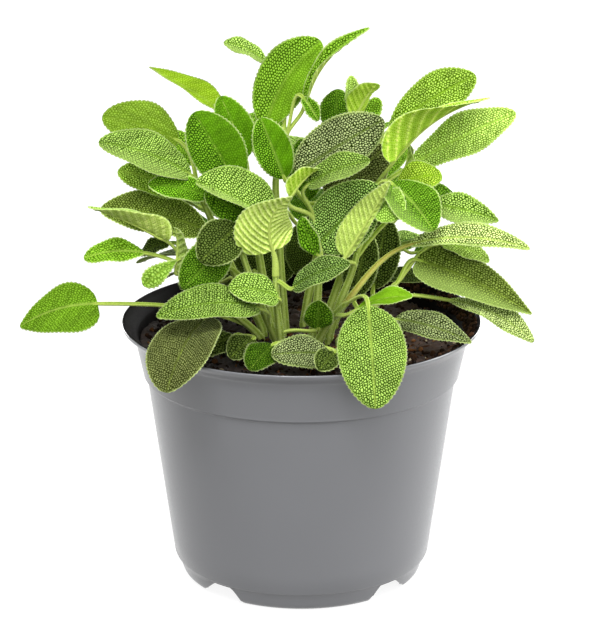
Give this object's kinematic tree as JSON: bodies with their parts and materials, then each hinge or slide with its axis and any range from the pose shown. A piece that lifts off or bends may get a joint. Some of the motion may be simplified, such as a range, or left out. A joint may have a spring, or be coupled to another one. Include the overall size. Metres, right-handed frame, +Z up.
{
  "type": "potted sage plant",
  "caption": "Bushy sage plant with broad pebbled leaves on upright stems, growing in a round tapered plastic nursery pot with a stepped collar, footed base and dark soil.",
  "frame": {"origin": "under the middle of the whole plant's box, on the surface that the pot stands on", "axes": "+Z up along the pot, -Y towards the side the picture was taken from, +X to that view's right"},
  "size_m": [0.1842, 0.148, 0.2027],
  "materials": {
    "pot_plastic": "satin",
    "soil": "matte",
    "sage": "matte"
  },
  "bodies": {
    "root": {"pot": "pot_plastic", "soil": "soil", "stem_top": "sage", "stem_upper_left": "sage", "stem_left": "sage", "stem_low_left": "sage", "stem_front_left": "sage", "stem_front": "sage", "stem_front_right": "sage", "stem_middle": "sage", "stem_middle_right": "sage", "stem_upper_right": "sage", "stem_low_right": "sage", "stem_back": "sage", "stem_back_left": "sage", "stem_back_right": "sage", "stem_small_front": "sage", "stem_small_left": "sage"}
  },
  "joints": []
}
